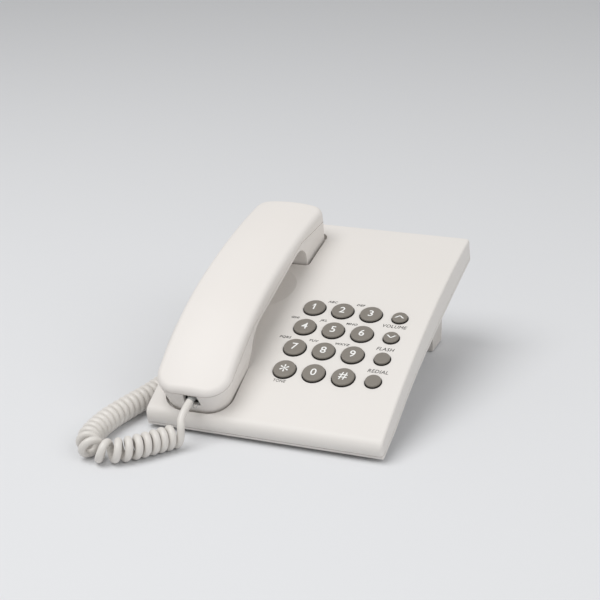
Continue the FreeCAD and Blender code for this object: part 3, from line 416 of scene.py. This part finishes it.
white_ink = ink("white_ink", hue(244, 244, 242))
grey_ink = ink("grey_ink", hue(64, 62, 60))
key_pitch_x = 0.0188
key_pitch_v = 0.0194
first_row_v = 0.1065
side_key_x = 0.0564
legend_place = key_proud + 0.00003
digit_size = 0.0078
digit_width = 1.05
digit_weight = 0.00005
flag_size = 0.0030
flag_width = 1.5
flag_weight = 0.00006
flag_left = -0.00085
flag_ahead = 0.0017
star_size = 0.0138
star_weight = 0.00002
hash_size = 0.0086
hash_weight = 0.00004
arrow_size = 0.0062
arrow_width = 2.6
arrow_weight = -0.00004
legends = [("1", 0, 0), ("2", 1, 0), ("3", 2, 0), ("4", 0, 1), ("5", 1, 1), ("6", 2, 1),
           ("7", 0, 2), ("8", 1, 2), ("9", 2, 2), ("0", 1, 3)]
for words, column, row in legends:
    spot = on_top(column * key_pitch_x, first_row_v - row * key_pitch_v, legend_place)
    legend = printed("legend_" + words, words, spot, white_ink, digit_size, digit_width,
                     weight=digit_weight)
    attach(legend, "key_" + words)
flag_spot = on_top(flag_left, first_row_v + flag_ahead, legend_place)
flag = printed("legend_1_flag", "/", flag_spot, white_ink, flag_size, flag_width,
               weight=flag_weight)
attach(flag, "key_1")
star_spot = on_top(0, first_row_v - 3 * key_pitch_v, legend_place)
star = printed("legend_star", "*", star_spot, white_ink, star_size, weight=star_weight)
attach(star, "key_star")
hash_spot = on_top(2 * key_pitch_x, first_row_v - 3 * key_pitch_v, legend_place)
hash_sign = printed("legend_hash", "#", hash_spot, white_ink, hash_size, digit_width,
                    weight=hash_weight)
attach(hash_sign, "key_hash")
for name, row, turn in (("key_volume_up", 0, 0.0), ("key_volume_down", 1, math.pi)):
    spot = on_top(side_key_x, first_row_v - row * key_pitch_v, legend_place)
    turned_spot = spot @ Matrix.Rotation(turn, 4, "Z")
    arrow = printed("legend_" + name[4:], "^", turned_spot, white_ink, arrow_size, arrow_width,
                    weight=arrow_weight)
    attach(arrow, name)

# Print on the housing. In grey ink, it has the letters by the number keys and the names of the
# function keys.
letters = [("ABC", 1, 0), ("DEF", 2, 0), ("GHI", 0, 1), ("JKL", 1, 1), ("MNO", 2, 1),
           ("PQRS", 0, 2), ("TUV", 1, 2), ("WXYZ", 2, 2)]
letter_left = -0.00935
letter_ahead = 0.00875
letter_size = 0.0026
letter_width = 1.16
letter_weight = 0.00004
name_width = 0.97
print_slant = 0.2
print_raise = 0.00002
for words, column, row in letters:
    spot = on_top(column * key_pitch_x + letter_left,
                  first_row_v - row * key_pitch_v + letter_ahead, print_raise)
    label = printed("letters_" + words, words, spot, grey_ink, letter_size, letter_width,
                    print_slant, letter_weight)
    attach(label, "base")
names_on_top = [("VOLUME", 0.0554, 0.0985, 0.0040), ("FLASH", 0.0557, 0.0770, 0.0040),
                ("REDIAL", 0.0568, 0.0574, 0.0040), ("TONE", -0.0003, 0.0393, 0.0030)]
for words, x, v, size in names_on_top:
    label = printed("name_" + words, words, on_top(x, v, print_raise), grey_ink, size,
                    name_width, print_slant)
    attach(label, "base")

# Latch of the plug in the handset. It is a thin loop of clear plastic that bends out under the
# cord.
latch_bends = [(-0.0425, 0.0085, 0.0098), (-0.0425, 0.0060, 0.0090), (-0.0424, 0.0036, 0.0078),
               (-0.0410, 0.0032, 0.0076), (-0.0396, 0.0036, 0.0078), (-0.0395, 0.0060, 0.0090),
               (-0.0395, 0.0085, 0.0098)]
latch_thickness = 0.0006
latch_points = [slab @ Vector(bend) for bend in latch_bends]
latch = round_cord("plug_latch", latch_points, resolution=4, diameter=latch_thickness, sides=8)[0]
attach(latch, "handset")

# Jacks, plugs, switches, screws, feet and what is inside: black and clear plastic, zinc plated
# steel, black rubber, a tan circuit board and its parts.
black_plastic = plastic("black_plastic", hue(40, 40, 42), hue(32, 32, 34),
                        roughness=0.45, grain_per_metre=2600.0, grain_depth=0.00002)
dress(["base_cord_jack", "handset_jack", "line_jack", "main_chip", "dial_switch", "ringer_switch",
       "hook_switch", "receiver", "ringer_sounder", "ringer_knob", "dial_mode_knob", "microphone",
       "line_transformer"], black_plastic)
rubber = plastic("foot_rubber", hue(58, 57, 56), hue(48, 47, 46),
                 roughness=0.8, grain_per_metre=1800.0, grain_depth=0.00004)
dress(["front_feet", "stand_feet", "key_mat", "microphone_boot"], rubber)
steel = Finish("zinc_steel", metallic=1.0)
steel_cloud = steel.grain(700.0, 4.0)
steel_colour = steel.blend(steel_cloud, hue(170, 172, 174), hue(200, 201, 202))
steel.give(steel.shader, "Base Color", steel_colour)
steel.give(steel.shader, "Roughness", 0.28 + 0.15 * steel_cloud)
steel.bump(steel_cloud, 0.00002)
dress(["board_screws", "handset_screws", "housing_screws", "hook_spring", "base_weight",
       "handset_weight", "receiver_ring"], steel.material)
clear = Finish("clear_plug", ior=1.55, transmission_weight=0.35)
clear_cloud = clear.grain(500.0)
clear_colour = clear.blend(clear_cloud, hue(196, 197, 194), hue(214, 215, 212))
clear.give(clear.shader, "Base Color", clear_colour)
clear.give(clear.shader, "Roughness", 0.1 + gloss_spread * clear_cloud)
dress(["cord_base_plug", "cord_handset_plug"], clear.material)
latch.data.materials.append(clear.material)
can = Finish("can_metal", metallic=1.0)
can_cloud = can.grain(900.0)
can_colour = can.blend(can_cloud, hue(176, 177, 178), hue(200, 200, 200))
can.give(can.shader, "Base Color", can_colour)
can.give(can.shader, "Roughness", 0.3 + gloss_spread * can_cloud)
dress(["capacitors"], can.material)
laminate = plastic("board_laminate", hue(152, 138, 96), hue(140, 126, 84),
                   roughness=0.5, grain_per_metre=1500.0, grain_depth=0.00002)
dress(["main_board"], laminate)
lead_red = plastic("lead_jacket", hue(160, 50, 44), hue(146, 42, 38),
                   roughness=0.5, grain_per_metre=2000.0, grain_depth=0.00001)
dress(["receiver_leads", "microphone_leads", "sounder_leads"], lead_red)

# Floor and light. The floor is plain and pale. A soft lamp lights the phone from the upper left, a
# weaker one from the right, and a white sky evenly from all round.
floor_size = 6
floor_drop = 0.0002
lamp_aim = Vector((-0.02, 0.0, 0.03))
sky_on_things = 0.48
sky_seen = 0.95
bpy.ops.object.select_all(action="DESELECT")
bpy.ops.mesh.primitive_plane_add(size=floor_size, location=(0, 0, -floor_drop))
floor = bpy.context.object
floor.name = "floor"
floor_finish = Finish("floor_finish", base_color=hue(222, 223, 225), roughness=0.9)
floor.data.materials.append(floor_finish.material)


def lamp(name, place, size, power):
    """A round lamp, turned to the phone."""
    light = bpy.data.lights.new(name, "AREA")
    light.shape = "DISK"
    light.size = size
    light.energy = power
    made = bpy.data.objects.new(name, light)
    bpy.context.scene.collection.objects.link(made)
    made.location = place
    aim = lamp_aim - Vector(place)
    made.rotation_euler = aim.to_track_quat("-Z", "Y").to_euler()


lamp("key_light", place=(-0.6, -0.6, 1.8), size=1.6, power=22)
lamp("fill_light", place=(1.4, -0.6, 1.3), size=1.4, power=8)
world = bpy.data.worlds.new("studio")
bpy.context.scene.world = world
world.use_nodes = True
sky = world.node_tree.nodes["Background"]
sky.inputs["Color"].default_value = (1, 1, 1, 1)
seen = world.node_tree.nodes.new("ShaderNodeLightPath")
strength = world.node_tree.nodes.new("ShaderNodeMapRange")
strength.inputs["To Min"].default_value = sky_on_things
strength.inputs["To Max"].default_value = sky_seen
world.node_tree.links.new(seen.outputs["Is Camera Ray"], strength.inputs["Value"])
world.node_tree.links.new(strength.outputs["Result"], sky.inputs["Strength"])
bpy.context.scene.view_settings.view_transform = "Standard"

bpy.context.view_layer.update()
